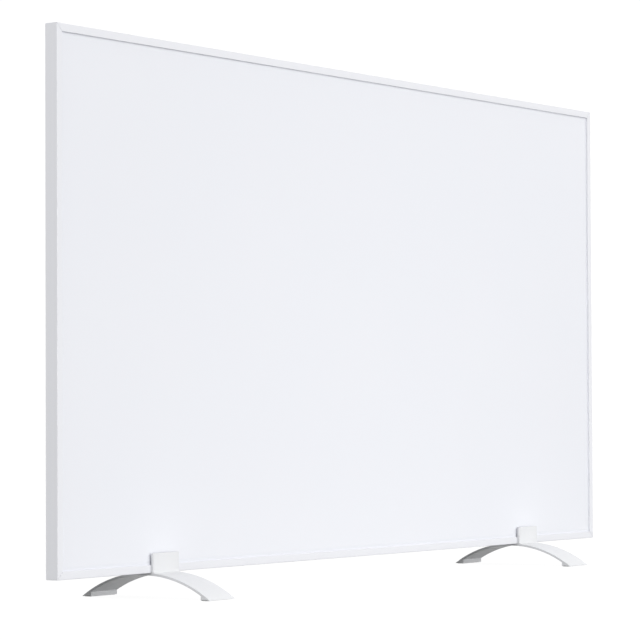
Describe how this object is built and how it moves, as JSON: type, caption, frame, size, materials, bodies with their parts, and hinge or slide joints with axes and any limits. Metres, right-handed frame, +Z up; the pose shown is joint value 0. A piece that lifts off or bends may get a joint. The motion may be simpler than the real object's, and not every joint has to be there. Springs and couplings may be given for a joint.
{
  "type": "infrared panel heater",
  "caption": "Flat white radiating panel in a slim mitred frame, standing upright on arched slide-on feet, with a connection box behind.",
  "frame": {"origin": "on the floor, in the middle of the object's width and depth", "axes": "+X runs along the panel to the right as seen from the front, -Y is the way the front radiates, +Z is up"},
  "size_m": [1.2, 0.1788, 0.629],
  "materials": {
    "rail_coat": "satin",
    "plate_enamel": "satin",
    "zinc_sheet": "satin",
    "mill_aluminium": "matte",
    "zinc_screw": "satin",
    "silicone_gasket": "matte",
    "polyimide_film": "satin",
    "resistance_foil": "satin",
    "bright_foil": "polished",
    "fibre_board": "matte",
    "brass": "satin",
    "tinned_copper": "satin",
    "phenolic": "matte",
    "brown_silicone": "satin",
    "blue_silicone": "satin",
    "green_silicone": "satin",
    "box_polyamide": "matte",
    "black_rubber": "matte",
    "block_polyamide": "matte",
    "foot_coat": "satin",
    "pad_rubber": "matte",
    "pad_nylon": "matte",
    "knob_nylon": "matte"
  },
  "bodies": {
    "panel": {"frame_top": "rail_coat", "frame_bottom": "rail_coat", "frame_left": "rail_coat", "frame_right": "rail_coat", "corner_keys": "mill_aluminium", "corner_screws": "zinc_screw", "front_plate": "plate_enamel", "plate_gasket": "silicone_gasket", "front_film": "polyimide_film", "heating_element": "resistance_foil", "rear_film": "polyimide_film", "reflector_foil": "bright_foil", "element_studs": "brass", "insulation_board": "fibre_board", "cutout_caps": "mill_aluminium", "cutout_bodies": "phenolic", "cutout_blades": "tinned_copper", "live_lead": "brown_silicone", "link_lead": "brown_silicone", "element_lead": "brown_silicone", "neutral_lead": "blue_silicone", "earth_lead": "green_silicone", "rear_cover": "zinc_sheet", "wall_inserts": "zinc_screw", "box_base": "box_polyamide", "box_lid": "box_polyamide", "box_seal": "black_rubber", "box_screws": "zinc_screw", "box_rivets": "mill_aluminium", "lead_grommet": "black_rubber", "terminal_block": "block_polyamide", "terminal_sleeves": "brass", "terminal_screws": "zinc_screw", "block_screw": "zinc_screw", "earth_stud": "brass", "earth_nut": "brass", "ring_terminal": "tinned_copper", "gland_body": "box_polyamide", "gland_locknut": "box_polyamide", "gland_seal": "black_rubber", "gland_nut": "box_polyamide"},
    "left_foot": {"foot_left": "foot_coat", "toe_pads_left": "pad_rubber"},
    "left_clamp_pad": {"clamp_pad_left": "pad_nylon"},
    "left_clamp_screw": {"clamp_screw_left": "zinc_screw", "clamp_knob_left": "knob_nylon"},
    "right_foot": {"foot_right": "foot_coat", "toe_pads_right": "pad_rubber"},
    "right_clamp_pad": {"clamp_pad_right": "pad_nylon"},
    "right_clamp_screw": {"clamp_screw_right": "zinc_screw", "clamp_knob_right": "knob_nylon"}
  },
  "joints": [
    {"name": "left_foot_slide", "type": "slide", "parent": "panel", "child": "left_foot", "axis": [1, 0, 0], "range_m": [-0.15, 0.25]},
    {"name": "left_clamp_travel", "type": "slide", "parent": "left_foot", "child": "left_clamp_pad", "axis": [0, 1, 0], "range_m": [0, 0.002]},
    {"name": "left_clamp_turn", "type": "hinge", "parent": "left_clamp_pad", "child": "left_clamp_screw", "pos_m": [-0.41, 0.018, 0.039], "axis": [0, 1, 0], "range_deg": [0, 900]},
    {"name": "right_foot_slide", "type": "slide", "parent": "panel", "child": "right_foot", "axis": [1, 0, 0], "range_m": [-0.25, 0.15]},
    {"name": "right_clamp_travel", "type": "slide", "parent": "right_foot", "child": "right_clamp_pad", "axis": [0, 1, 0], "range_m": [0, 0.002]},
    {"name": "right_clamp_turn", "type": "hinge", "parent": "right_clamp_pad", "child": "right_clamp_screw", "pos_m": [0.41, 0.018, 0.039], "axis": [0, 1, 0], "range_deg": [0, 900]}
  ],
  "couplings": [
    {"joint": "left_clamp_turn", "follows": "left_clamp_travel", "rad_per_m": 7854},
    {"joint": "right_clamp_turn", "follows": "right_clamp_travel", "rad_per_m": 7854}
  ]
}
